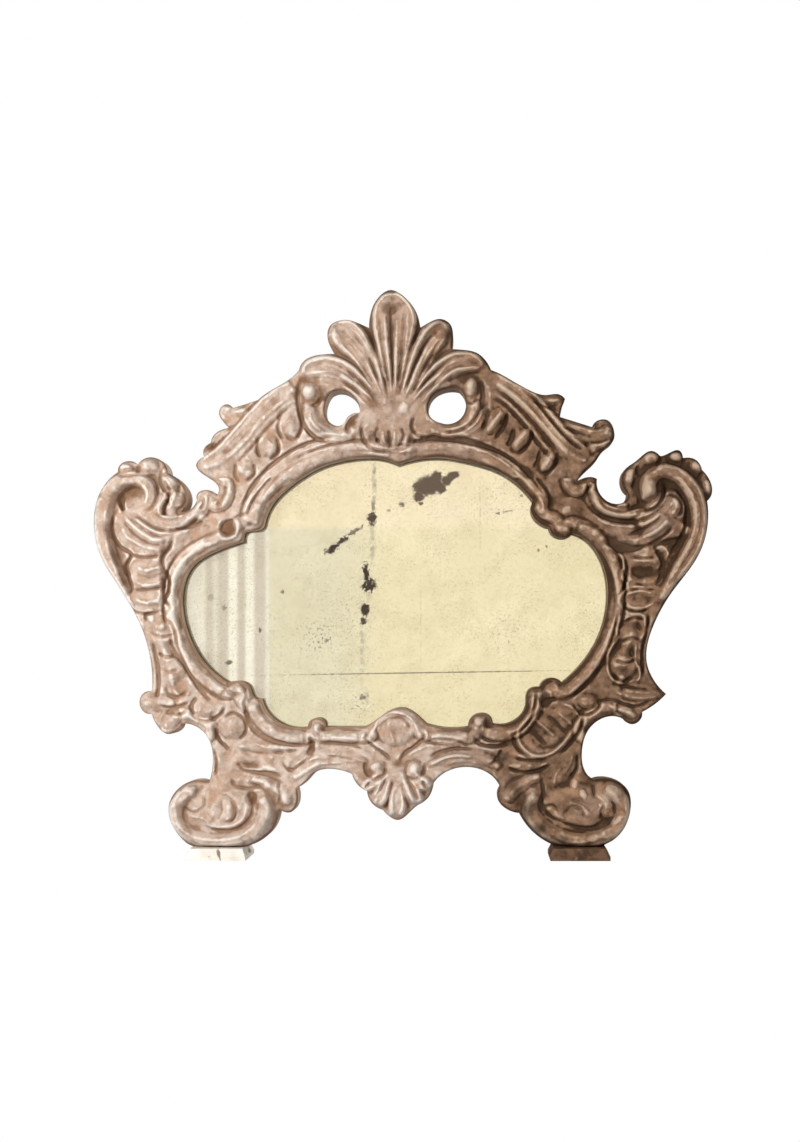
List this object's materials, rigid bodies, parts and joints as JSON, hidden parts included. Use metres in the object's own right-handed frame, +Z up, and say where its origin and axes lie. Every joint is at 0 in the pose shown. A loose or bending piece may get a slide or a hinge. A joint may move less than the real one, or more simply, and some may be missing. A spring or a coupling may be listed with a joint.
{
  "type": "mirror",
  "caption": "Carved rococo altar-card frame with a foxed mercury mirror plate, worn mecca gilding, two plinths, turn buttons and a hanging ring on the back",
  "frame": {"origin": "on the table under the middle of the frame, at the bottom centre of the bounding box", "axes": "+X to the right of the mirror as seen from its front, +Y to its back, +Z up; the front faces -Y"},
  "size_m": [0.4801, 0.048, 0.441],
  "materials": {
    "gilt_wood": "worn mecca gilding over gesso on carved wood",
    "frame_wood": "worn gilding on the front and edges, bare aged wood on the back",
    "bare_wood": "bare aged softwood",
    "gesso": "wood under bare cracked gesso",
    "toned_gesso": "wood under brown toned gesso",
    "glass": "old clear plate glass",
    "silvering": "mercury and tin amalgam, foxed and partly lost",
    "iron": "forged iron, dark with rust"
  },
  "bodies": {
    "frame": {"bottom_cabochon": "gilt_wood", "bottom_left_sight_moulding": "gilt_wood", "bottom_rail_board": "frame_wood", "bottom_right_sight_moulding": "gilt_wood", "bottom_shell": "gilt_wood", "button_pins": "iron", "crest_board": "frame_wood", "crest_knot": "gilt_wood", "crest_palmette": "gilt_wood", "hanging_staple": "iron", "joint_dowels": "bare_wood", "left_backboard": "bare_wood", "left_crest_scroll": "gilt_wood", "left_ear_ruffle": "gilt_wood", "left_ear_saddle": "gilt_wood", "left_ear_scroll": "gilt_wood", "left_foot_leaf": "gilt_wood", "left_foot_scroll": "gilt_wood", "left_husk_drop": "gilt_wood", "left_leg_board": "frame_wood", "left_leg_panel": "gilt_wood", "left_plinth": "gesso", "left_rail_leaf": "gilt_wood", "left_shoulder_board": "frame_wood", "left_shoulder_bosses": "gilt_wood", "left_shoulder_leaf": "gilt_wood", "left_shoulder_rim": "gilt_wood", "left_side_leaf": "gilt_wood", "left_sight_moulding": "gilt_wood", "left_stile_board": "frame_wood", "mercury_amalgam": "silvering", "mirror_glass": "glass", "rail_left_sight_moulding": "gilt_wood", "rail_right_sight_moulding": "gilt_wood", "right_backboard": "bare_wood", "right_crest_scroll": "gilt_wood", "right_ear_ruffle": "gilt_wood", "right_ear_saddle": "gilt_wood", "right_ear_scroll": "gilt_wood", "right_foot_leaf": "gilt_wood", "right_foot_scroll": "gilt_wood", "right_husk_drop": "gilt_wood", "right_leg_board": "frame_wood", "right_leg_panel": "gilt_wood", "right_plinth": "toned_gesso", "right_rail_leaf": "gilt_wood", "right_shoulder_board": "frame_wood", "right_shoulder_bosses": "gilt_wood", "right_shoulder_leaf": "gilt_wood", "right_shoulder_rim": "gilt_wood", "right_side_leaf": "gilt_wood", "right_sight_moulding": "gilt_wood", "right_stile_board": "frame_wood", "top_left_sight_moulding": "gilt_wood", "top_right_sight_moulding": "gilt_wood"},
    "upper_left_turn_button": {"upper_left_turn_button": "bare_wood"},
    "upper_right_turn_button": {"upper_right_turn_button": "bare_wood"},
    "lower_left_turn_button": {"lower_left_turn_button": "bare_wood"},
    "lower_right_turn_button": {"lower_right_turn_button": "bare_wood"},
    "hanging_ring": {"hanging_ring": "iron"}
  },
  "joints": [
    {"name": "upper_left_turn", "type": "hinge", "parent": "frame", "child": "upper_left_turn_button", "pos_m": [-0.10641, 0.014, 0.30823], "axis": [0, 1, 0], "continuous": true},
    {"name": "upper_right_turn", "type": "hinge", "parent": "frame", "child": "upper_right_turn_button", "pos_m": [0.09631, 0.014, 0.31056], "axis": [0, 1, 0], "continuous": true},
    {"name": "lower_left_turn", "type": "hinge", "parent": "frame", "child": "lower_left_turn_button", "pos_m": [-0.16777, 0.014, 0.13975], "axis": [0, 1, 0], "continuous": true},
    {"name": "lower_right_turn", "type": "hinge", "parent": "frame", "child": "lower_right_turn_button", "pos_m": [0.14835, 0.014, 0.13665], "axis": [0, 1, 0], "continuous": true},
    {"name": "ring_swing", "type": "hinge", "parent": "frame", "child": "hanging_ring", "pos_m": [-0.00621, 0.0172, 0.37733], "axis": [1, 0, 0], "range_deg": [0, 180]}
  ]
}
